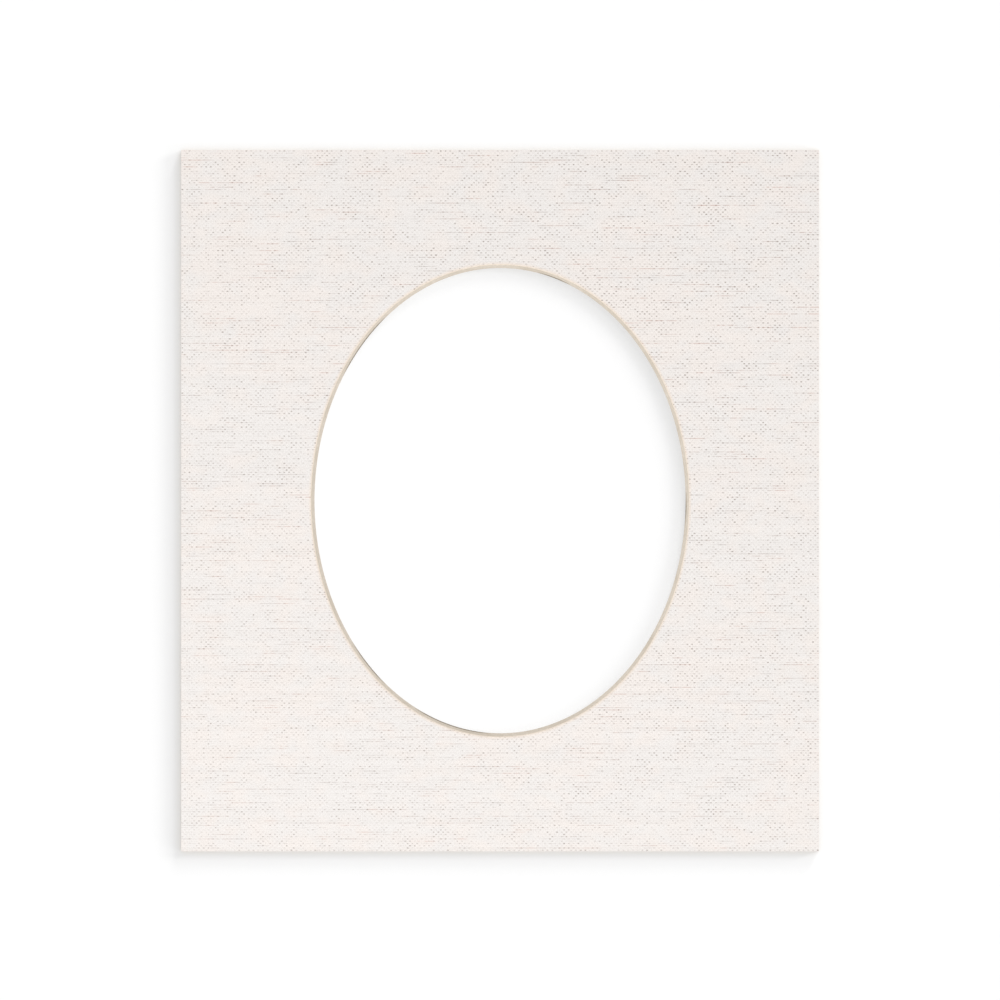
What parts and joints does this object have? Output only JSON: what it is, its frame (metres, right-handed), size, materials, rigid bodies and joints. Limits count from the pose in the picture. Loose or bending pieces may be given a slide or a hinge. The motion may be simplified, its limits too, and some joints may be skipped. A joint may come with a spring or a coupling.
{
  "type": "oval picture mount",
  "caption": "Flat linen-faced mat board with an upright oval window cut through it on a bevel, to lie over a picture in a frame.",
  "frame": {"origin": "centre of the back face, the face that lies on the picture", "axes": "+Z out of the linen face, +Y to the top edge along the longer side, +X to the right edge"},
  "size_m": [0.254, 0.2794, 0.0016],
  "materials": {
    "cream_board": "matte fibrous cut board, cream",
    "woven_linen": "matte plain weave with slubs, off-white"
  },
  "bodies": {
    "root": {"core_board": "cream_board", "linen_facing": "woven_linen"}
  },
  "joints": []
}
